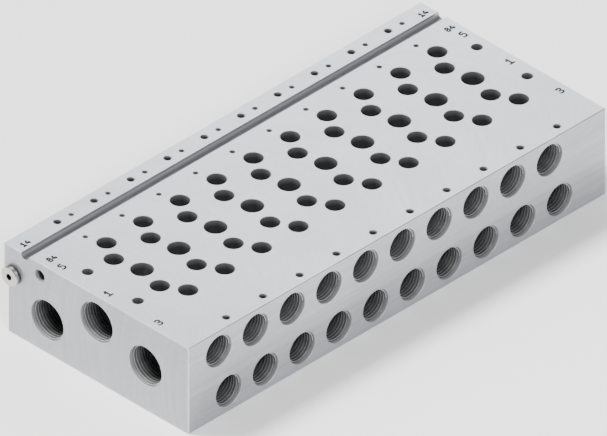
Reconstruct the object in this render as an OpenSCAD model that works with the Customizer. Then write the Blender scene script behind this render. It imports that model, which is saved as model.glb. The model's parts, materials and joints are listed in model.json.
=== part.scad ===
// Manifold rail for pneumatic valves: a drilled and milled aluminium rail that carries a row of
// valves on its top face. Supply and exhaust air runs through its length to the ends, each valve
// has two outlets on the front face, and a screw plug with a sealing ring closes pilot port 14.
// The origin is the middle of the four mounting holes on the bottom face. X runs along the rail,
// Y towards its back and Z up.

/* [Valve row] */
// Number of valve positions along the rail
valve_count = 10; // [2:1:20]
// Distance between neighbouring valve positions
valve_pitch = 19; // [18.6:0.1:26]
// First valve position, measured from the left end
left_margin = 23.7; // [23.4:0.1:40]
// Last valve position, measured from the right end
right_margin = 21; // [20.4:0.1:40]

/* [Rail section] */
// Front face, measured from the middle of the valve row
front_reach = 47.7; // [46.5:0.1:56]
// Back face, measured from the middle of the valve row
back_reach = 47.8; // [47.3:0.1:56]
// Height of the rail
rail_height = 38.4; // [38:0.1:46]
// Height of the lower part of the back face, which stands further in
back_step_height = 21.9; // [8:0.1:22.8]
// How far that lower part stands in
back_step_inset = 2.6; // [0.4:0.1:6]
// Broken edges around the outside
edge_break = 0.3; // [0.1:0.05:0.6]
// Broken edges at the mouths of all holes
mouth_break = 0.15; // [0.05:0.05:0.25]

/* [Groove in the top face] */
// Width of the strip between the back face and the groove
strip_width = 9; // [7.1:0.1:9.5]
// Width of the groove across its mouth
groove_width = 4.5; // [4:0.1:5]
// Depth of the groove
groove_depth = 2.2; // [1.8:0.05:2.6]
// Radius between the strip's wall and the groove's floor
groove_radius = 1.65; // [0.5:0.05:1.75]
// How far the sloping front wall of the groove runs
groove_slope_run = 1.6; // [0.4:0.1:2]

/* [Channels along the rail] */
// Diameter of supply channel 1 and of exhaust channels 3 and 5
air_channel_d = 10.5; // [7.6:0.1:11]
// Height of supply channel 1, under the middle of the valve row
channel_1_z = 26.4; // [25.6:0.1:27.5]
// Exhaust channel 3, in front of the middle of the valve row
channel_3_y = 25.3; // [24.6:0.1:26]
// Height of exhaust channel 3
channel_3_z = 19.4; // [19:0.1:19.8]
// Exhaust channel 5, behind the middle of the valve row
channel_5_y = 25.4; // [24.5:0.1:26.5]
// Height of exhaust channel 5
channel_5_z = 14.6; // [12:0.1:18]
// Diameter of pilot channels 14 and 84
pilot_channel_d = 3.5; // [2.4:0.1:3.8]
// Pilot channel 14, in from the back face
channel_14_inset = 4.9; // [4.3:0.1:5.3]
// Height of pilot channel 14
channel_14_z = 26.4; // [26:0.1:27]
// Pilot channel 84, behind the middle of the valve row
channel_84_y = 29.3; // [29:0.1:30.5]
// Height of pilot channel 84
channel_84_z = 32.5; // [31.5:0.1:33]

/* [End ports] */
// Thread diameter of end ports 1, 3 and 5
end_port_d = 16.66; // [12:0.01:16.8]
// Depth of that thread
end_port_depth = 10.5; // [8:0.1:11]
// Drill that the thread is cut in
end_port_drill_d = 15.2; // [11.5:0.1:15.3]
// Thread diameter of pilot ports 14 and 84
pilot_port_d = 5; // [4.5:0.05:5.2]
// Depth of that thread
pilot_port_depth = 7; // [6.2:0.1:9]
// Drill that the thread is cut in
pilot_port_drill_d = 4.2; // [3.9:0.05:4.4]
// How much further each port drill goes than its thread
port_drill_run_on = 1.5; // [0.5:0.1:1.8]

/* [Outlets on the front face] */
// Thread diameter of the outlets
outlet_d = 13.16; // [9.8:0.01:13.4]
// Depth of that thread
outlet_depth = 10.5; // [8:0.1:11]
// Drill that the thread is cut in
outlet_drill_d = 11.8; // [8.8:0.1:12]
// Drilling that runs on from each outlet to its valve
outlet_channel_d = 7.5; // [5:0.1:7.6]
// Upper outlets, to the left of their valve position
upper_outlet_x = 8; // [7.8:0.1:8.4]
// Height of the upper outlets
upper_outlet_z = 29.6; // [29.4:0.1:30.2]
// Lower outlets, to the left of their valve position
lower_outlet_x = 2.8; // [2:0.1:3.6]
// Height of the lower outlets
lower_outlet_z = 9.3; // [8:0.1:9.5]

/* [Openings under each valve] */
// Diameter of the supply opening in the middle
supply_opening_d = 8.7; // [6:0.1:9]
// Diameter of the two outlet and the two exhaust openings
side_opening_d = 7.5; // [5:0.1:7.6]
// Outlet openings, in front of and behind the middle
outlet_opening_y = 11.9; // [11.6:0.1:12.6]
// Exhaust openings, in front of and behind the middle
exhaust_opening_y = 21.1; // [20.4:0.1:21.2]
// How far outlet openings stand to the left, and exhaust openings to the right
opening_offset = 2.7; // [2.4:0.1:2.8]
// Diameter of the small pilot openings
pilot_opening_d = 2; // [1:0.1:2.4]
// Opening into pilot channel 14, to the right of the valve position
pilot_14_opening_x = 6.3; // [5.5:0.1:7]

/* [Valve screws] */
// Thread diameter of the screw holes
screw_hole_d = 3; // [2.5:0.05:3.1]
// Depth of that thread
screw_hole_depth = 6; // [4:0.1:6.2]
// Drill that the thread is cut in
screw_hole_drill_d = 2.5; // [2:0.05:2.5]
// How much further the drill goes than the thread
screw_drill_run_on = 1; // [0.4:0.1:1.2]
// Screw holes, in front of and behind the middle of the valve row
screw_hole_y = 43.2; // [42.8:0.1:43.6]
// Front screw holes, to the right of the valve position
front_screw_x = 0.3; // [0.2:0.1:0.6]
// Back screw holes, to the left of the valve position
back_screw_x = 0.6; // [0:0.1:1.2]

/* [Mounting holes] */
// Diameter of the four mounting holes
mounting_hole_d = 4.3; // [3.4:0.1:4.6]
// How far they stand outside the first and the last valve position
mounting_hole_reach = 15.1; // [15:0.1:16]
// Distance between the front and the back ones
mounting_hole_spacing = 26; // [25:0.1:26.4]

/* [Plug in pilot port 14] */
// Diameter of the plug's head
plug_head_d = 8.1; // [7.4:0.1:9]
// Thickness of the plug's head
plug_head_h = 1.3; // [1:0.1:2.5]
// Broken edge around the plug's head
plug_edge_break = 0.25; // [0.1:0.05:0.5]
// Length of the shank below the sealing ring
plug_shank_length = 5; // [3:0.1:6]
// Gap between the shank and the wall of the port
plug_clearance = 0.05; // [0.02:0.01:0.1]
// Width across the flats of the hexagon socket
plug_socket_flats = 2.5; // [2:0.1:3]
// Depth of the hexagon socket
plug_socket_depth = 2.2; // [1.5:0.1:3]
// Diameter of the sealing ring
seal_d = 7.9; // [7:0.1:8.6]
// Thickness of the sealing ring
seal_h = 1; // [0.5:0.1:1.5]
// Gap between the sealing ring and the shank
seal_clearance = 0.1; // [0.05:0.01:0.2]

/* [Hidden] */
$fn = 64;

overcut = 1;
drill_point_angle = 118;

row_length = (valve_count - 1) * valve_pitch;
valve_x = [for (i = [0 : valve_count - 1]) i * valve_pitch - row_length / 2];
rail_left = -row_length / 2 - left_margin;
rail_right = row_length / 2 + right_margin;
rail_length = rail_right - rail_left;
channel_14_y = back_reach - channel_14_inset;

// Length of the cone that a drill of this radius leaves, down to a smaller radius
function drill_point(from_r, to_r = 0) = (from_r - to_r) / tan(drill_point_angle / 2);

// Rectangle with its corners cut off, from one corner to the other
module broken_rectangle(low, high) {
    polygon([
        [low.x + edge_break, low.y], [high.x - edge_break, low.y],
        [high.x, low.y + edge_break], [high.x, high.y - edge_break],
        [high.x - edge_break, high.y], [low.x + edge_break, high.y],
        [low.x, high.y - edge_break], [low.x, low.y + edge_break]
    ]);
}

// Open shape of the groove: a rounded back wall, a flat floor and a sloping front wall
module groove_section() {
    back_wall = back_reach - strip_width;
    front_edge = back_wall - groove_width;
    floor_z = rail_height - groove_depth;
    difference() {
        polygon([
            [back_wall, rail_height + overcut], [back_wall, floor_z],
            [front_edge + groove_slope_run, floor_z], [front_edge, rail_height],
            [front_edge, rail_height + overcut]
        ]);
        difference() {
            translate([back_wall - groove_radius, floor_z - overcut])
                square([groove_radius + overcut, groove_radius + overcut]);
            translate([back_wall - groove_radius, floor_z + groove_radius])
                circle(r = groove_radius);
        }
    }
}

// Cross-section of the rail, in Y and Z
module rail_section() {
    difference() {
        broken_rectangle([-front_reach, 0], [back_reach, rail_height]);
        translate([back_reach - back_step_inset, -overcut])
            square([back_step_inset + overcut, back_step_height + overcut]);
        polygon([
            [back_reach - back_step_inset - edge_break, -overcut],
            [back_reach - back_step_inset - edge_break, 0],
            [back_reach - back_step_inset, edge_break],
            [back_reach + overcut, edge_break],
            [back_reach + overcut, -overcut]
        ]);
        groove_section();
    }
}

// The rail before it is drilled: its section along X, with the edges of both ends broken
module rail_blank() {
    intersection() {
        translate([rail_left, 0, 0])
            rotate([90, 0, 90])
                linear_extrude(rail_length)
                    rail_section();
        translate([0, 0, -overcut])
            linear_extrude(rail_height + 2 * overcut)
                broken_rectangle([rail_left, -front_reach], [rail_right, back_reach]);
        translate([0, back_reach + overcut, 0])
            rotate([90, 0, 0])
                linear_extrude(front_reach + back_reach + 2 * overcut)
                    broken_rectangle([rail_left, 0], [rail_right, rail_height]);
    }
}

// Places on the faces. Each turns its children so that their Z runs into the rail.
module from_left_end(y, z) {
    translate([rail_left, y, z]) rotate([0, 90, 0]) children();
}

module from_right_end(y, z) {
    translate([rail_right, y, z]) rotate([0, -90, 0]) children();
}

module from_front(x, z) {
    translate([x, -front_reach, z]) rotate([-90, 0, 0]) children();
}

module from_top(x, y) {
    translate([x, y, rail_height]) rotate([180, 0, 0]) children();
}

// Drilled hole with a flat end, where it runs into a channel
module opening(d, depth) {
    translate([0, 0, -overcut]) cylinder(d = d, h = depth + overcut);
}

// Opening in the top face, with a cone that breaks the edge of its mouth
module top_opening(x, y, d, depth) {
    from_top(x, y) {
        opening(d, depth);
        translate([0, 0, -overcut])
            cylinder(d1 = d + 2 * (mouth_break + overcut), d2 = d, h = mouth_break + overcut);
    }
}

// Threaded hole: a broken edge, the thread's full diameter, then the end of the drill it is cut in
module threaded_hole(thread_d, thread_depth, drill_d, run_on, channel_d = 0) {
    thread_r = thread_d / 2;
    drill_r = drill_d / 2;
    drill_depth = thread_depth + run_on;
    point_depth = drill_depth + drill_point(drill_r, channel_d / 2);
    rotate_extrude()
        polygon(concat(
            [[0, -overcut], [thread_r + mouth_break + overcut, -overcut],
             [thread_r, mouth_break], [thread_r, thread_depth], [drill_r, thread_depth],
             [drill_r, drill_depth], [channel_d / 2, point_depth]],
            channel_d > 0 ? [[0, point_depth]] : []
        ));
}

// Channel along the whole rail, with a threaded port at both ends
module channel(y, z, d, port_d, port_depth, port_drill_d) {
    translate([rail_left - overcut, y, z])
        rotate([0, 90, 0])
            cylinder(d = d, h = rail_length + 2 * overcut);
    from_left_end(y, z) threaded_hole(port_d, port_depth, port_drill_d, port_drill_run_on, d);
    from_right_end(y, z) threaded_hole(port_d, port_depth, port_drill_d, port_drill_run_on, d);
}

module air_channel(y, z) {
    channel(y, z, air_channel_d, end_port_d, end_port_depth, end_port_drill_d);
}

module pilot_channel(y, z) {
    channel(y, z, pilot_channel_d, pilot_port_d, pilot_port_depth, pilot_port_drill_d);
}

// Front outlet with the drilling that runs back from it to an opening under the valve
module outlet(x, z, opening_y) {
    from_front(x, z) {
        threaded_hole(outlet_d, outlet_depth, outlet_drill_d, port_drill_run_on,
                      outlet_channel_d);
        opening(outlet_channel_d, front_reach + opening_y + side_opening_d / 2);
    }
}

// Everything drilled for one valve, with the valve position at X = 0
module valve_drillings() {
    top_opening(0, 0, supply_opening_d, rail_height - channel_1_z);
    top_opening(opening_offset, exhaust_opening_y, side_opening_d, rail_height - channel_5_z);
    top_opening(opening_offset, -exhaust_opening_y, side_opening_d, rail_height - channel_3_z);
    top_opening(-opening_offset, outlet_opening_y, side_opening_d,
                rail_height - lower_outlet_z + outlet_channel_d / 2);
    top_opening(-opening_offset, -outlet_opening_y, side_opening_d,
                rail_height - upper_outlet_z + outlet_channel_d / 2);
    outlet(-lower_outlet_x, lower_outlet_z, outlet_opening_y);
    outlet(-upper_outlet_x, upper_outlet_z, -outlet_opening_y);
    top_opening(0, channel_84_y, pilot_opening_d, rail_height - channel_84_z);
    top_opening(pilot_14_opening_x, channel_14_y, pilot_opening_d, rail_height - channel_14_z);
    from_top(front_screw_x, -screw_hole_y) screw_hole();
    from_top(-back_screw_x, screw_hole_y) screw_hole();
}

module screw_hole() {
    threaded_hole(screw_hole_d, screw_hole_depth, screw_hole_drill_d, screw_drill_run_on);
}

module mounting_holes() {
    hole_x = row_length / 2 + mounting_hole_reach;
    for (x = [-hole_x, hole_x], y = [-mounting_hole_spacing / 2, mounting_hole_spacing / 2])
        top_opening(x, y, mounting_hole_d, rail_height + overcut);
}

module rail_body() {
    color("gainsboro")
        difference() {
            rail_blank();
            air_channel(0, channel_1_z);
            air_channel(-channel_3_y, channel_3_z);
            air_channel(channel_5_y, channel_5_z);
            pilot_channel(channel_14_y, channel_14_z);
            pilot_channel(channel_84_y, channel_84_z);
            for (x = valve_x)
                translate([x, 0, 0]) valve_drillings();
            mounting_holes();
        }
}

// Turned screw plug: head with a broken edge, shank in the port and a hexagon socket
module pilot_plug() {
    head_r = plug_head_d / 2;
    shank_r = pilot_port_d / 2 - plug_clearance;
    socket_r = plug_socket_flats / 2 / cos(30);
    color("silver")
        from_left_end(channel_14_y, channel_14_z)
            difference() {
                rotate_extrude()
                    polygon([
                        [0, -seal_h - plug_head_h],
                        [head_r - plug_edge_break, -seal_h - plug_head_h],
                        [head_r, -seal_h - plug_head_h + plug_edge_break],
                        [head_r, -seal_h], [shank_r, -seal_h],
                        [shank_r, plug_shank_length - plug_edge_break],
                        [shank_r - plug_edge_break, plug_shank_length],
                        [0, plug_shank_length]
                    ]);
                translate([0, 0, -seal_h - plug_head_h - overcut])
                    cylinder(r = socket_r, h = plug_socket_depth + overcut, $fn = 6);
            }
}

// Flat sealing ring between the end face and the plug's head
module plug_seal() {
    ring_hole_d = pilot_port_d - 2 * plug_clearance + 2 * seal_clearance;
    color("dimgray")
        from_left_end(channel_14_y, channel_14_z)
            translate([0, 0, -seal_h])
                difference() {
                    cylinder(d = seal_d, h = seal_h);
                    translate([0, 0, -overcut]) cylinder(d = ring_hole_d, h = seal_h + 2 * overcut);
                }
}

rail_body();
pilot_plug();
plug_seal();
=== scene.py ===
import json
import math

import bpy
from mathutils import Matrix, Vector


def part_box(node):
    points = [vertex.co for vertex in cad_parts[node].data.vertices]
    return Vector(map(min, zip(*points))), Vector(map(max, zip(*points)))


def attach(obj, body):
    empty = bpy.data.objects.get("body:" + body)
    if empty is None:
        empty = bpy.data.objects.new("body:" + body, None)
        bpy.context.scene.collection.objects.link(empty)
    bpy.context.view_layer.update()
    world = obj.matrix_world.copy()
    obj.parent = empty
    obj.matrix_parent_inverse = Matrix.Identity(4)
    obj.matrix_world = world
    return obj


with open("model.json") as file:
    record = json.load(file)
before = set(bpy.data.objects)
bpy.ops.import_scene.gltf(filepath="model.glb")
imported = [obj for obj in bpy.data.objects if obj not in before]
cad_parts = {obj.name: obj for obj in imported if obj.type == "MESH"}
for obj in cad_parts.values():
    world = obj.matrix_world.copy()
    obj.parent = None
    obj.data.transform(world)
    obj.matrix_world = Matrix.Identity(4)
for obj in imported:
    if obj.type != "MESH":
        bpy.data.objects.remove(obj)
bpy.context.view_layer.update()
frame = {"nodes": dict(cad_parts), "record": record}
nodes, mounts = frame["nodes"], frame["record"]["mounts"]
scene = bpy.context.scene
mm = 0.001
railLow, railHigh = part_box("rail_body")
print("loaded the frame:", ", ".join(sorted(nodes)))


# Camera: the drawing is a true isometric view, so it is orthographic and turned 45 degrees.
cameraSettings = {
    "lookAt": (5.156, 7.222, 12.377),  # mm, what the middle of the picture shows
    "direction": (1, 1, -1),
    "distance": 700,
    "width": 221.88,  # mm across the picture
    "sees": (0.01, 10),  # metres, the nearest and the farthest
}


def aim(thing, place, direction):
    thing.location = place
    thing.rotation_euler = Vector(direction).to_track_quat("-Z", "Y").to_euler()
    scene.collection.objects.link(thing)


def makeCamera(settings):
    data = bpy.data.cameras.new("camera")
    data.type = "ORTHO"
    data.ortho_scale = settings["width"] * mm
    data.clip_start, data.clip_end = settings["sees"]
    camera = bpy.data.objects.new("camera", data)
    direction = Vector(settings["direction"]).normalized()
    middle = Vector(settings["lookAt"]) * mm
    aim(camera, middle - direction * settings["distance"] * mm, direction)
    scene.camera = camera


makeCamera(cameraSettings)
print("camera ready")


# Node trees are written as expressions: a Wire is a socket that takes part in sums.
class Wire:
    def __init__(self, tree, socket):
        self.tree, self.socket = tree, socket

    def maths(self, operation, *others, clamp=False):
        return self.tree.maths(operation, self, *others, clamp=clamp)

    def __add__(self, other):
        return self.maths("ADD", other)

    def __sub__(self, other):
        return self.maths("SUBTRACT", other)

    def __rsub__(self, other):
        return self.tree.maths("SUBTRACT", other, self)

    def __mul__(self, other):
        return self.maths("MULTIPLY", other)

    def __truediv__(self, other):
        return self.maths("DIVIDE", other)

    def __gt__(self, other):
        return self.maths("GREATER_THAN", other)

    def __lt__(self, other):
        return self.maths("LESS_THAN", other)

    def __abs__(self):
        return self.maths("ABSOLUTE")

    def least(self, other):
        return self.maths("MINIMUM", other)

    def most(self, other):
        return self.maths("MAXIMUM", other)

    def clamped(self):
        return self.maths("ADD", 0, clamp=True)

    __radd__ = __add__


class Tree:
    def __init__(self, nodeTree):
        self.nodeTree = nodeTree
        nodeTree.nodes.clear()

    def maths(self, operation, *values, clamp=False):
        settings = {"operation": operation, "use_clamp": clamp}
        return self.node("ShaderNodeMath", settings, dict(enumerate(values)))

    def node(self, kind, settings=None, sockets=None, output=0):
        made = self.nodeTree.nodes.new(kind)
        for name, value in (settings or {}).items():
            if name == "stops":
                self.setStops(made.color_ramp.elements, value)
            else:
                setattr(made, name, value)
        for name, value in (sockets or {}).items():
            if isinstance(value, Wire):
                self.nodeTree.links.new(value.socket, made.inputs[name])
            else:
                made.inputs[name].default_value = value
        return Wire(self, made.outputs[output]) if made.outputs else made

    def setStops(self, elements, stops):
        while len(elements) < len(stops):
            elements.new(1)
        for element, (place, shade) in zip(elements, stops):
            element.position, element.color = place, (*shade, 1)

    def mixColour(self, factor, first, second, blend="MIX"):
        settings = {"data_type": "RGBA", "blend_type": blend}
        return self.node("ShaderNodeMix", settings, {0: factor, 6: first, 7: second}, 2)

    def withPaintedShade(self, factor, colour, tint):
        # The colour times the tint, as far as the factor says; every use of it paints shade.
        return self.mixColour(factor, colour, self.mixColour(1, colour, tint, "MULTIPLY"))

    def bump(self, height, strength, depth):
        sockets = {"Strength": strength, "Distance": depth * mm, "Height": height}
        return self.node("ShaderNodeBump", None, sockets)

    def axes(self, vector):
        split = self.node("ShaderNodeSeparateXYZ", None, {0: vector})
        return [Wire(self, socket) for socket in split.socket.node.outputs]

    def attribute(self, name):
        return self.node("ShaderNodeAttribute", {"attribute_name": name}, output="Fac")

    def noise(self, where, scale, detail, stretch=(1, 1, 1)):
        placed = self.node("ShaderNodeMapping", None, {"Vector": where, "Scale": stretch})
        sockets = {"Vector": placed, "Scale": scale, "Detail": detail}
        return self.node("ShaderNodeTexNoise", None, sockets)

    def finish(self, colour, roughness, normal, **fixed):
        sockets = {"Base Color": colour, "Roughness": roughness, "Normal": normal}
        sockets.update({name.replace("_", " "): value for name, value in fixed.items()})
        shader = self.node("ShaderNodeBsdfPrincipled", None, sockets)
        self.node("ShaderNodeOutputMaterial", None, {0: shader})


def newMaterial(name):
    material = bpy.data.materials.new(name)
    material.use_nodes = True
    tree = Tree(material.node_tree)
    place = tree.node("ShaderNodeTexCoord", output="Object")
    return material, tree, place


aluminiumSettings = {
    "pale": (0.51, 0.52, 0.535, 1),
    "shaded": (0.40, 0.41, 0.43, 1),
    "sideShade": (0.90, 0.90, 0.91, 1),  # painted shade that makes the drawn sides darker than the top
    "endShade": (0.80, 0.80, 0.81, 1),  # and painted shade on the sawn and skimmed ends
    "worn": (0.88, 0.88, 0.88, 1),
    "grainShare": 0.65,  # of the shading that follows the tool marks, the rest is cloudy
    "contrast": 3.2,
    "roughness": 0.40,
    "endRoughness": 0.08,  # added on the ends
    "metallic": 0.9,
    "coat": 0.12,  # the clear oxide skin
    "coatRoughness": 0.25,
    # Tool marks, with sizes in mm and noise scales along X, Y and Z.
    "cutterRadius": 62,  # the face mill that skims the top and the ends
    "cutterFeed": 0.45,
    "bandRun": (0.35, 0.004),  # how fast the milled bands change along and across the path
    "streakGrain": (6, 620, 620),
    "fineStreakGrain": (14, 3400, 3400),
    "scratchGrain": (55, 260, 260),
    "scratchWidth": 0.006,
    "scratchShow": 0.10,
    "cloudScale": 34,
    "speckScale": 900,
    # How much each mark changes the roughness and the height.
    "gloss": {"grain": 0.22, "speck": 0.08, "wear": 0.12},
    "relief": {"arcs": 0.5, "streaks": 2.4, "rings": 0.5, "speck": 0.6, "scratch": 0.6},
    "reliefStrength": 0.35,
    "reliefDepth": 0.012,
    # Edges, where handling has rubbed the finish pale.
    "edgeWear": 0.6,
    "wearReach": 0.75,
    "wearNoise": {"cloud": 1.6, "speck": 0.4, "less": 0.45},
    # Drilled walls, with painted shade that darkens them into the bores.
    "boreMouth": (0.36, 0.365, 0.38, 1),
    "boreDeep": (0.085, 0.087, 0.092, 1),
    "boreFade": 2.8,  # mm below the faces where the painted shade on the drilled walls is darkest
    "boreFeed": 0.22,
    "boreRoughness": 0.42,
    "boreMetallic": 0.35,
    "openingShade": (0.72, 0.72, 0.72, 1),  # painted shade that makes the openings in the top darker than the ports
    "openingMetallic": 0.25,  # and that much more like bare metal
    "rimGap": 0.5,  # slanted faces farther from the outer edges are the broken edges of holes
    "rimRoughness": 0.22,
    # Which part of the rail a point belongs to.
    "skin": 0.2,  # how deep below the outer planes still counts as outside
    "upright": 0.02,  # a wall this square to a plane is a drilled one
    "flat": 0.9,  # a face turned this far towards an axis lies across it
    "backStepFrom": 45.0,
    # Painted shade low in the groove, which fades up its walls.
    "grooveFrom": (33.9, 36.1),  # Y and Z past which a surface belongs to the groove
    "grooveBack": 38.9,
    "grooveFloor": 36.2,
    "grooveShadeRise": 1.0,  # how far up the groove's walls the painted shade fades out
    "grooveShadeEdge": 0.02,  # it stops this far from the end faces
    "grooveShadeClouds": (0.5, 0.75),
    "grooveShade": (0.30, 0.30, 0.31, 1),
}


def railInset(axes):
    # How far a point lies inside each pair of the rail's outer planes.
    inset = []
    for value, low, high in zip(axes, railLow, railHigh):
        inset.append((high - low) / 2 / mm - abs(value - (low + high) / 2 / mm))
    return inset


def cutterArcs(along, across, settings):
    # The arcs that a face mill leaves, as a number that grows along its path.
    square = settings["cutterRadius"] ** 2
    return along - (square - across * across).most(1).maths("SQRT")


def ripple(value, spacing):
    return (value * (2 * math.pi / spacing)).maths("SINE")


def makeAluminium(name, s):
    material, tree, place = newMaterial(name)
    x, y, z = [axis / mm for axis in tree.axes(place)]
    normal = tree.node("ShaderNodeNewGeometry", output="True Normal")
    facing = [abs(axis) for axis in tree.axes(normal)]

    # The depth below the nearest outer plane, and the distance from the nearest outer edge.
    inset = railInset((x, y, z))
    nearest = inset[0].least(inset[1].least(inset[2]))
    farthest = inset[0].most(inset[1].most(inset[2]))
    edgeGap = inset[0] + inset[1] + inset[2] - nearest - farthest

    # Drilled walls are inside, and so are the first few tenths of a mm at their mouths.
    inGroove = (y > s["grooveFrom"][0]) * (y < s["grooveBack"])
    inGroove = inGroove * (z > s["grooveFrom"][1])
    lips = [(depth < s["skin"]) * (across < s["upright"]) for depth, across in zip(inset, facing)]
    lip = lips[0].most(lips[1].most(lips[2])) * (edgeGap > s["skin"])
    backStep = y > s["backStepFrom"]
    outside = ((nearest < s["skin"]) * (1 - lip)).most(inGroove.most(backStep))
    inside = 1 - outside
    slanted = facing[0].most(facing[1].most(facing[2])) < s["flat"]
    rim = slanted * outside * (1 - inGroove) * (edgeGap > s["rimGap"])
    opening = inset[2] < inset[0].least(inset[1])

    # Cutter arcs on the top and the ends, drawn streaks on the long sides, rings in the bores.
    onEnd, onSide, onTop = [axis > s["flat"] for axis in facing]
    milled = onTop.most(onEnd)
    middle = (railLow[2] + railHigh[2]) / 2 / mm
    arcs = cutterArcs(x, y, s) * onTop + cutterArcs(y, z - middle, s) * onEnd
    fineArcs = ripple(arcs, s["cutterFeed"])
    along, across = s["bandRun"]
    run = tree.node("ShaderNodeCombineXYZ", None, {0: arcs * along, 1: y * across})
    bands = tree.noise(run, 1, 4)
    streaks = tree.noise(place, 1, 5, s["streakGrain"])
    fineStreaks = tree.noise(place, 1, 2, s["fineStreakGrain"])
    rings = 0
    for value, across in zip((x, y, z), facing):
        rings = ripple(value, s["boreFeed"]) * (across < s["upright"]) + rings
    cloud = tree.noise(place, s["cloudScale"], 4)
    speck = tree.noise(place, s["speckScale"], 2)
    scratch = tree.noise(place, 1, 3, s["scratchGrain"]).maths("COMPARE", 0.5, s["scratchWidth"])
    grain = bands * milled + streaks * (1 - milled)

    # Colour of the outer faces with painted shade on the sides and ends, their worn edges,
    # painted shade in the bores, and painted shade in the groove.
    share = s["grainShare"]
    shade = ((grain * share + cloud * (1 - share) - 0.5) * s["contrast"] + 0.5).clamped()
    colour = tree.mixColour(shade, s["shaded"], s["pale"])
    # Painted shade: the long sides and the ends are darkened against the top so the faces read
    # apart.
    colour = tree.withPaintedShade(onSide, colour, s["sideShade"])
    colour = tree.withPaintedShade(onEnd, colour, s["endShade"])
    patchy = s["wearNoise"]
    wear = (1 - edgeGap / s["wearReach"]).clamped() * s["edgeWear"] * outside
    wear = wear * (cloud * patchy["cloud"] + speck * patchy["speck"] - patchy["less"])
    wear = (wear + scratch * outside * s["scratchShow"]).clamped()
    colour = tree.mixColour(wear, colour, s["worn"])
    # Painted shade in the bores: dark at the mouths, darker with depth, darker still in the top
    # openings.
    deepShade = (nearest / s["boreFade"]).clamped()
    boreShade = tree.mixColour(deepShade, s["boreMouth"], s["boreDeep"])
    boreShade = tree.withPaintedShade(opening, boreShade, s["openingShade"])
    colour = tree.mixColour(inside, colour, boreShade)
    # Painted shade low in the groove, patchy with the clouds.
    spread, least = s["grooveShadeClouds"]
    grooveShade = (1 - (z - s["grooveFloor"]) / s["grooveShadeRise"]).clamped() * inGroove
    grooveShade = grooveShade * (inset[0] > s["grooveShadeEdge"])
    grooveShade = (grooveShade * (cloud * spread + least)).clamped()
    colour = tree.withPaintedShade(grooveShade, colour, s["grooveShade"])

    gloss, relief = s["gloss"], s["relief"]
    rough = s["roughness"] + (grain - 0.5) * gloss["grain"] + (speck - 0.5) * gloss["speck"]
    rough = rough - wear * gloss["wear"] + inside * (s["boreRoughness"] - s["roughness"])
    rough = rough + onEnd * s["endRoughness"] + rim * s["rimRoughness"]
    height = fineArcs * milled * outside * relief["arcs"]
    height = height + (fineStreaks - 0.5) * (1 - milled) * outside * relief["streaks"]
    height = height + rings * inside * relief["rings"] + (speck - 0.5) * relief["speck"]
    height = height - scratch * outside * relief["scratch"]
    bump = tree.bump(height, s["reliefStrength"], s["reliefDepth"])
    metal = s["metallic"] - inside * (s["metallic"] - s["boreMetallic"])
    metal = metal + inside * opening * s["openingMetallic"]
    coat = {"Coat_Weight": s["coat"], "Coat_Roughness": s["coatRoughness"]}
    tree.finish(colour, rough, bump, Metallic=metal, **coat)
    return material


threadFinishSettings = {
    # painted shade for the roots and a painted highlight for the crests
    "root": (0.022, 0.0225, 0.024, 1),
    "crest": (0.74, 0.745, 0.755, 1),
    "crestGain": 1.15,
    "deepShade": (0.10, 0.10, 0.10, 1),  # the painted shade the thread takes deep in the hole
    "cloudScale": 240,
    "clouds": 0.5,
    "speckScale": 2400,
    "reliefStrength": 0.3,
    "reliefDepth": 0.01,
    "roughness": 0.34,
    "rootRoughness": 0.15,
    "speckRoughness": 0.1,
    "metallic": 0.5,
}


def makeCutThread(name, s):
    # Painted shade in the roots and a painted highlight on the crests, and more painted shade
    # deeper in the hole.
    material, tree, place = newMaterial(name)
    crest, depth = tree.attribute("crest"), tree.attribute("depth")
    cloud, speck = tree.noise(place, s["cloudScale"], 4), tree.noise(place, s["speckScale"], 2)
    shade = (crest * s["crestGain"] + (cloud - 0.5) * s["clouds"]).clamped()
    colour = tree.mixColour(shade, s["root"], s["crest"])
    colour = tree.withPaintedShade(depth.clamped(), colour, s["deepShade"])
    bump = tree.bump(speck, s["reliefStrength"], s["reliefDepth"])
    rough = s["roughness"] + (1 - crest.clamped()) * s["rootRoughness"]
    rough = rough + (speck - 0.5) * s["speckRoughness"]
    tree.finish(colour, rough, bump, Metallic=s["metallic"])
    return material


plugSettings = {
    "axis": (42.9, 26.4),  # Y and Z of the plug's middle, mm
    "bright": (0.56, 0.55, 0.52, 1),
    "dull": (0.38, 0.37, 0.35, 1),
    # painted shade inside the hex socket
    "socket": (0.12, 0.12, 0.115, 1),
    "socketReach": 1.43,
    "headRise": 2.25,  # the head stands within this of the end face
    "turning": 0.16,
    "cloudScale": 420,
    "fleckScale": 2600,
    "shares": {"cloud": 0.8, "rings": 0.1},
    "relief": {"rings": 0.6, "fleck": 0.8},
    "reliefStrength": 0.4,
    "reliefDepth": 0.01,
    "roughness": 0.20,
    "gloss": {"cloud": 0.2, "fleck": 0.06},
    "coat": 0.2,
    "coatRoughness": 0.1,
}


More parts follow.
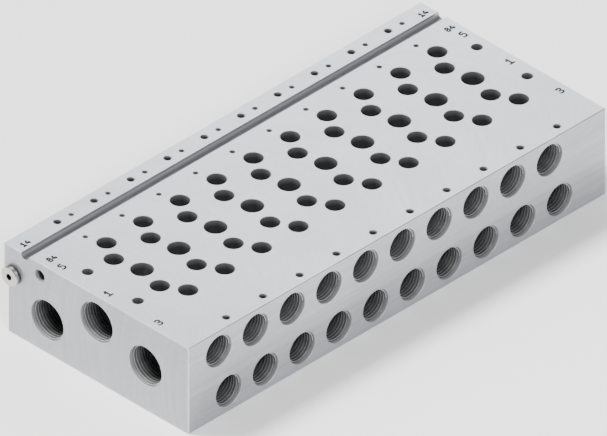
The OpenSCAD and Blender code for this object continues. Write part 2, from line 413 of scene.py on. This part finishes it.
def makeNickel(name, s):
    material, tree, place = newMaterial(name)
    x, y, z = [axis / mm for axis in tree.axes(place)]
    across, up = y - s["axis"][0], z - s["axis"][1]
    reach = (across * across + up * up).maths("SQRT")
    rings = ripple(reach, s["turning"])
    cloud, fleck = tree.noise(place, s["cloudScale"], 4), tree.noise(place, s["fleckScale"], 2)
    # Painted shade inside the hex socket.
    socketShade = (reach < s["socketReach"]) * (x > railLow[0] / mm - s["headRise"])
    shares, relief, gloss = s["shares"], s["relief"], s["gloss"]
    shade = cloud * shares["cloud"] + rings * shares["rings"]
    colour = tree.mixColour(shade, s["dull"], s["bright"])
    colour = tree.mixColour(socketShade, colour, s["socket"])
    height = rings * relief["rings"] + (fleck - 0.5) * relief["fleck"]
    bump = tree.bump(height, s["reliefStrength"], s["reliefDepth"])
    rough = s["roughness"] + (cloud - 0.5) * gloss["cloud"] + fleck * gloss["fleck"]
    coat = {"Coat_Weight": s["coat"], "Coat_Roughness": s["coatRoughness"]}
    tree.finish(colour, rough, bump, Metallic=1, **coat)
    return material


sealSettings = {
    "dark": (0.012, 0.012, 0.013, 1),
    "light": (0.035, 0.035, 0.038, 1),
    "mottleScale": 700,
    "grainScale": 5200,
    "reliefStrength": 0.5,
    "reliefDepth": 0.02,
    "roughness": 0.60,
    "mottleRoughness": 0.3,
    "specular": 0.25,
}


def makeSealPlastic(name, s):
    material, tree, place = newMaterial(name)
    mottle, grain = tree.noise(place, s["mottleScale"], 4), tree.noise(place, s["grainScale"], 2)
    colour = tree.mixColour(mottle, s["dark"], s["light"])
    bump = tree.bump(grain, s["reliefStrength"], s["reliefDepth"])
    rough = s["roughness"] + (mottle - 0.5) * s["mottleRoughness"]
    tree.finish(colour, rough, bump, Specular_IOR_Level=s["specular"])
    return material


def dress(nodeName, material):
    mesh = nodes[nodeName].data
    for slot in range(len(mesh.materials)):
        mesh.materials[slot] = material
    if not mesh.materials:
        mesh.materials.append(material)


dress("rail_body", makeAluminium("satinAnodisedAluminium", aluminiumSettings))
dress("pilot_plug", makeNickel("turnedNickelPlate", plugSettings))
dress("plug_seal", makeSealPlastic("mattSealPlastic", sealSettings))
print("finishes on the rail, the plug and its seal")


# Threads: one helical ridge in each hole, made by one tree from the hole's sizes.
threadKinds = {
    "outlet_threads": {
        "holes": "outlet_", "Major Radius": 6.58, "Ridge Height": 0.856, "Pitch": 1.337,
        "Thread End": 10.5, "Thread Start": 0.9, "Segments": 48, "Dark Depth": 9.5,
    },
    "end_port_threads": {
        "holes": "port_", "Major Radius": 8.33, "Ridge Height": 0.856, "Pitch": 1.337,
        "Thread End": 10.5, "Thread Start": 0.9, "Segments": 56, "Dark Depth": 12.0,
    },
    "pilot_port_threads": {
        "holes": "pilot_port_", "Major Radius": 2.5, "Ridge Height": 0.433, "Pitch": 0.8,
        "Thread End": 7.0, "Thread Start": 0.7, "Segments": 28, "Dark Depth": 3.6,
    },
    "screw_hole_threads": {
        "holes": None, "Major Radius": 1.5, "Ridge Height": 0.27, "Pitch": 0.5,
        "Thread End": 6.0, "Thread Start": 0.3, "Segments": 20, "Dark Depth": 1.0,
    },
}
screwHoleSettings = {
    "firstX": -85.5, "pitch": 19, "count": 10,
    "reach": 43.2,  # in front of and behind the middle of the valve row
    "frontX": 0.3, "backX": -0.6,
}
ridgeShape = {
    "crestShare": 0.22,  # flats at the crest and the root, as shares of the pitch
    "rootShare": 0.12,
    "sunk": 0.04,  # how deep the ridge goes into the wall, also a share of the pitch
    "taperTurns": 0.5,
    "leastSwell": 0.02,
    "smoothBelow": 35,  # degrees between neighbouring faces
}


def makeThreadTree():
    nodeTree = bpy.data.node_groups.new("threadRidge", "GeometryNodeTree")
    tree = Tree(nodeTree)
    face = nodeTree.interface
    face.new_socket("Holes", in_out="INPUT", socket_type="NodeSocketGeometry")
    sizes = ("Major Radius", "Ridge Height", "Pitch", "Thread End", "Thread Start", "Dark Depth")
    for name in sizes:
        face.new_socket(name, in_out="INPUT", socket_type="NodeSocketFloat")
    face.new_socket("Segments", in_out="INPUT", socket_type="NodeSocketInt")
    face.new_socket("Material", in_out="INPUT", socket_type="NodeSocketMaterial")
    face.new_socket("Threads", in_out="OUTPUT", socket_type="NodeSocketGeometry")
    given = tree.node("NodeGroupInput").socket.node.outputs
    given = {socket.name: Wire(tree, socket) for socket in given if socket.name}

    pitch, height = given["Pitch"], given["Ridge Height"]
    length = given["Thread End"] - given["Thread Start"]
    turns = length / pitch
    helix = tree.node("GeometryNodeCurveSpiral", None, {
        "Resolution": given["Segments"], "Rotations": turns, "Height": length,
        "Start Radius": given["Major Radius"], "End Radius": given["Major Radius"],
    })
    helix = tree.node("GeometryNodeSetCurveNormal", {"mode": "Z_UP"}, {"Curve": helix})
    along = tree.node("GeometryNodeSplineParameter", output="Factor")
    fromEnd = along.least(1 - along) * turns
    swell = (fromEnd / ridgeShape["taperTurns"]).clamped().most(ridgeShape["leastSwell"])
    helix = tree.node("GeometryNodeSetCurveRadius", None, {"Curve": helix, "Radius": swell})

    sunk = pitch * ridgeShape["sunk"]
    profile = tree.node("GeometryNodeCurvePrimitiveQuadrilateral", {"mode": "TRAPEZOID"}, {
        "Height": height + sunk, "Bottom Width": pitch * ridgeShape["crestShare"],
        "Top Width": pitch * (1 - ridgeShape["rootShare"]), "Offset": 0.0,
    })
    lift = tree.node("ShaderNodeCombineXYZ", None, {1: (sunk - height) / 2})
    profile = tree.node("GeometryNodeTransform", None, {"Geometry": profile, "Translation": lift})
    ridge = tree.node("GeometryNodeCurveToMesh", None, {
        "Curve": helix, "Profile Curve": profile, "Fill Caps": True,
    })
    x, y, z = tree.axes(tree.node("GeometryNodeInputPosition"))
    crest = (given["Major Radius"] - (x * x + y * y).maths("SQRT")) / height
    # How far into the hole, which sets the painted shade of the thread.
    depth = (z + given["Thread Start"]) / given["Dark Depth"]
    onPoints = {"data_type": "FLOAT", "domain": "POINT"}
    for name, value in (("crest", crest), ("depth", depth)):
        stored = {"Geometry": ridge, "Name": name, "Value": value}
        ridge = tree.node("GeometryNodeStoreNamedAttribute", onPoints, stored)
    down = tree.node("ShaderNodeCombineXYZ", None, {2: given["Thread Start"]})
    ridge = tree.node("GeometryNodeTransform", None, {"Geometry": ridge, "Translation": down})

    asVector = {"data_type": "FLOAT_VECTOR"}
    inward = tree.node("GeometryNodeInputNamedAttribute", asVector, {"Name": "inward"})
    turn = tree.node("FunctionNodeAlignRotationToVector", {"axis": "Z"}, {"Vector": inward})
    copies = tree.node("GeometryNodeInstanceOnPoints", None, {
        "Points": given["Holes"], "Instance": ridge, "Rotation": turn,
    })
    solid = tree.node("GeometryNodeRealizeInstances", None, {"Geometry": copies})
    painted = {"Geometry": solid, "Material": given["Material"]}
    solid = tree.node("GeometryNodeSetMaterial", None, painted)
    tree.node("NodeGroupOutput", None, {0: solid})
    return nodeTree


def holesOf(prefix):
    # Mouth and inward direction of each threaded hole: the screw holes from their settings, the
    # others read from the imported record.
    if prefix is None:
        s = screwHoleSettings
        for i in range(s["count"]):
            x = s["firstX"] + i * s["pitch"]
            yield (x + s["frontX"], -s["reach"], railHigh[2] / mm), (0, 0, -1)
            yield (x + s["backX"], s["reach"], railHigh[2] / mm), (0, 0, -1)
        return
    for mount in mounts:
        if mount["kind"] == "threaded_hole" and mount["name"].startswith(prefix):
            yield [c / mm for c in mount["pos_m"]], [-c for c in mount["axis"]]


def plainMesh(thing):
    evaluated = thing.evaluated_get(bpy.context.evaluated_depsgraph_get())
    return bpy.data.meshes.new_from_object(evaluated)


def runTree(piece, nodeTree, values):
    modifier = piece.modifiers.new("shape", "NODES")
    modifier.node_group = nodeTree
    for item in nodeTree.interface.items_tree:
        if item.in_out == "INPUT" and item.name in values:
            modifier[item.identifier] = values[item.name]
    mesh = plainMesh(piece)
    piece.modifiers.clear()
    piece.data = mesh


def keepPiece(piece):
    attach(piece, "root")


threadAluminium = makeCutThread("cutThreadAluminium", threadFinishSettings)
threadTree = makeThreadTree()
for name, kind in threadKinds.items():
    holes = list(holesOf(kind["holes"]))
    mesh = bpy.data.meshes.new(name)
    mesh.from_pydata([place for place, inward in holes], [], [])
    arrows = mesh.attributes.new("inward", "FLOAT_VECTOR", "POINT")
    arrows.data.foreach_set("vector", [float(c) for place, inward in holes for c in inward])
    piece = bpy.data.objects.new(name, mesh)
    scene.collection.objects.link(piece)
    runTree(piece, threadTree, {**kind, "Material": threadAluminium})
    piece.data.transform(Matrix.Scale(mm, 4))
    for polygon in piece.data.polygons:
        polygon.use_smooth = True
    piece.data.set_sharp_from_angle(angle=math.radians(ridgeShape["smoothBelow"]))
    keepPiece(piece)
    print(name, len(holes), "holes,", len(piece.data.polygons), "faces")


# Port numbers: digits in single strokes, laser-marked, a hair proud of the top face.
numberSettings = {
    "spread": 0.70,  # width of a digit's frame, as a share of its height
    "step": 0.90,  # from one digit to the next
    "stroke": 0.84,  # mm
    "proud": 0.015,
    "ink": (0.012, 0.012, 0.013, 1),
    "faded": (0.035, 0.035, 0.038, 1),
    "burnScale": 1500,
    "grainScale": 6000,
    "reliefStrength": 0.4,
    "reliefDepth": 0.01,
    "roughness": 0.82,
    "burnRoughness": 0.3,
    "specular": 0.12,
    "marks": [  # what it says, the X and Y of its middle, and its height
        ("14", -104.1, 41.8, 2.4), ("84", -104.05, 28.1, 2.4),
        ("5", -105.1, 21.85, 3.15), ("1", -105.2, -1.85, 3.35), ("3", -105.1, -28.1, 3.1),
        ("14", 101.6, 41.8, 2.4), ("84", 101.85, 28.25, 2.4),
        ("5", 102.6, 22.1, 3.15), ("1", 102.5, -1.75, 3.35), ("3", 102.4, -28.05, 3.1),
    ],
}


def arc(x, y, wide, tall, start, stop, steps=10):
    turns = [math.radians(start + (stop - start) * i / steps) for i in range(steps + 1)]
    return [(x + wide * math.cos(t), y + tall * math.sin(t)) for t in turns]


# Each stroke's points, as shares of the digit's frame.
digitStrokes = {
    "1": [[(0.08, 0.58), (0.52, 1.0)], [(0.52, 1.0), (0.52, 0.0)], [(-0.04, 0.0), (1.08, 0.0)]],
    "3": [
        arc(0.50, 0.75, 0.42, 0.25, 168, -90),
        [(0.20, 0.50), (0.55, 0.50)],
        arc(0.48, 0.25, 0.48, 0.25, 90, -168),
    ],
    "4": [[(0.62, 1.0), (0.0, 0.30)], [(0.0, 0.30), (1.12, 0.30)], [(0.78, 0.58), (0.78, 0.0)]],
    "5": [
        [(0.94, 1.0), (0.16, 1.0)],
        [(0.16, 1.0), (0.10, 0.56)],
        arc(0.46, 0.32, 0.46, 0.32, 135, -160),
    ],
    "8": [arc(0.46, 0.76, 0.34, 0.24, -90, 270, 16), arc(0.46, 0.26, 0.40, 0.26, 90, 450, 16)],
}


def makeMarking(name, s):
    material, tree, place = newMaterial(name)
    burn, grain = tree.noise(place, s["burnScale"], 4), tree.noise(place, s["grainScale"], 2)
    colour = tree.mixColour(burn, s["ink"], s["faded"])
    bump = tree.bump(grain, s["reliefStrength"], s["reliefDepth"])
    rough = s["roughness"] + (burn - 0.5) * s["burnRoughness"]
    tree.finish(colour, rough, bump, Specular_IOR_Level=s["specular"])
    return material


def makeNumbers(name, settings):
    # The strokes are round wires laid on the face, then pressed flat.
    wires = bpy.data.curves.new(name, "CURVE")
    wires.dimensions = "3D"
    wires.bevel_depth = 0.5  # times each point's radius, which is the stroke's width
    wires.bevel_resolution = 2
    wires.use_fill_caps = True
    for text, x, y, tall in settings["marks"]:
        wide = tall * settings["spread"]
        for place, digit in enumerate(text):
            left = x - wide / 2 + (place - (len(text) - 1) / 2) * tall * settings["step"]
            for stroke in digitStrokes[digit]:
                line = wires.splines.new("POLY")
                line.points.add(len(stroke) - 1)
                for point, (u, v) in zip(line.points, stroke):
                    point.co = (left + u * wide, y + (v - 0.5) * tall, 0, 1)
                    point.radius = settings["stroke"]
    drawn = bpy.data.objects.new(name, wires)
    scene.collection.objects.link(drawn)
    mesh = plainMesh(drawn)
    bpy.data.objects.remove(drawn)
    press = settings["proud"] / max(vertex.co.z for vertex in mesh.vertices)
    flatten = Matrix.Diagonal((mm, mm, mm * press, 1))
    mesh.transform(Matrix.Translation((0, 0, railHigh[2])) @ flatten)
    mesh.materials.clear()
    mesh.materials.append(makeMarking("laserMarking", settings))
    piece = bpy.data.objects.new(name, mesh)
    scene.collection.objects.link(piece)
    return piece


keepPiece(makeNumbers("port_numbers", numberSettings))
print("port numbers:", len(numberSettings["marks"]))


# Studio: a pale floor, a soft sun from behind on the left, a sheen panel for the top and a
# panel in front.
studioSettings = {
    "floorColour": (0.90, 0.90, 0.905, 1),
    "floorTint": (0.87, 0.87, 0.88, 1),
    "floorCloudScale": 3,
    "floorGrainScale": 260,
    "floorRelief": (0.05, 0.1),  # strength, and depth in mm
    "floorRoughness": 0.7,
    "floorGrainRoughness": 0.1,
    "floorReach": 6000,
    # Below the horizon the sky has the floor's own brightness, for views from low down.
    "sky": [
        (0.0, (2.4, 2.4, 2.4)), (0.49, (2.4, 2.4, 2.4)), (0.51, (0.26, 0.27, 0.285)),
        (0.62, (0.42, 0.43, 0.445)), (1.0, (0.46, 0.46, 0.47)),
    ],
    "lights": {
        "key": {
            "kind": "SUN", "place": (-300, 480, 900),
            "size": 16, "power": 6.9, "tint": (1, 0.985, 0.96),
        },
        "sheen": {
            "kind": "AREA", "place": (640, 640, 620),
            "size": 460, "power": 3.3, "tint": (0.97, 0.985, 1),
        },
        "front": {
            "kind": "AREA", "place": (-420, -640, 660),
            "size": 220, "power": 10, "tint": (1, 1, 1),
        },
    },
}


def makeFloor(s):
    reach = s["floorReach"] * mm
    corners = [(-reach, -reach, 0), (reach, -reach, 0), (reach, reach, 0), (-reach, reach, 0)]
    mesh = bpy.data.meshes.new("floor")
    mesh.from_pydata(corners, [], [(0, 1, 2, 3)])
    material, tree, place = newMaterial("paleFloor")
    cloud = tree.noise(place, s["floorCloudScale"], 3)
    grain = tree.noise(place, s["floorGrainScale"], 3)
    colour = tree.mixColour(cloud, s["floorTint"], s["floorColour"])
    rough = s["floorRoughness"] + (grain - 0.5) * s["floorGrainRoughness"]
    tree.finish(colour, rough, tree.bump(grain, *s["floorRelief"]))
    mesh.materials.append(material)
    floor = bpy.data.objects.new("floor", mesh)
    scene.collection.objects.link(floor)


def makeLight(name, settings):
    # The size is degrees for a sun and mm for a panel.
    data = bpy.data.lights.new(name, settings["kind"])
    if settings["kind"] == "SUN":
        data.angle = math.radians(settings["size"])
    else:
        data.shape = "DISK"
        data.size = settings["size"] * mm
    data.energy = settings["power"]
    data.color = settings["tint"]
    light = bpy.data.objects.new(name, data)
    place = Vector(settings["place"]) * mm
    aim(light, place, -place)


def makeSky(settings):
    world = bpy.data.worlds.new("studio")
    world.use_nodes = True
    tree = Tree(world.node_tree)
    up = tree.axes(tree.node("ShaderNodeTexCoord", output="Generated"))[2]
    shade = tree.node("ShaderNodeValToRGB", {"stops": settings["sky"]}, {0: up * 0.5 + 0.5})
    glow = tree.node("ShaderNodeBackground", None, {"Color": shade})
    tree.node("ShaderNodeOutputWorld", None, {0: glow})
    scene.world = world


makeFloor(studioSettings)
makeSky(studioSettings)
for name, light in studioSettings["lights"].items():
    makeLight(name, light)
print("studio ready")
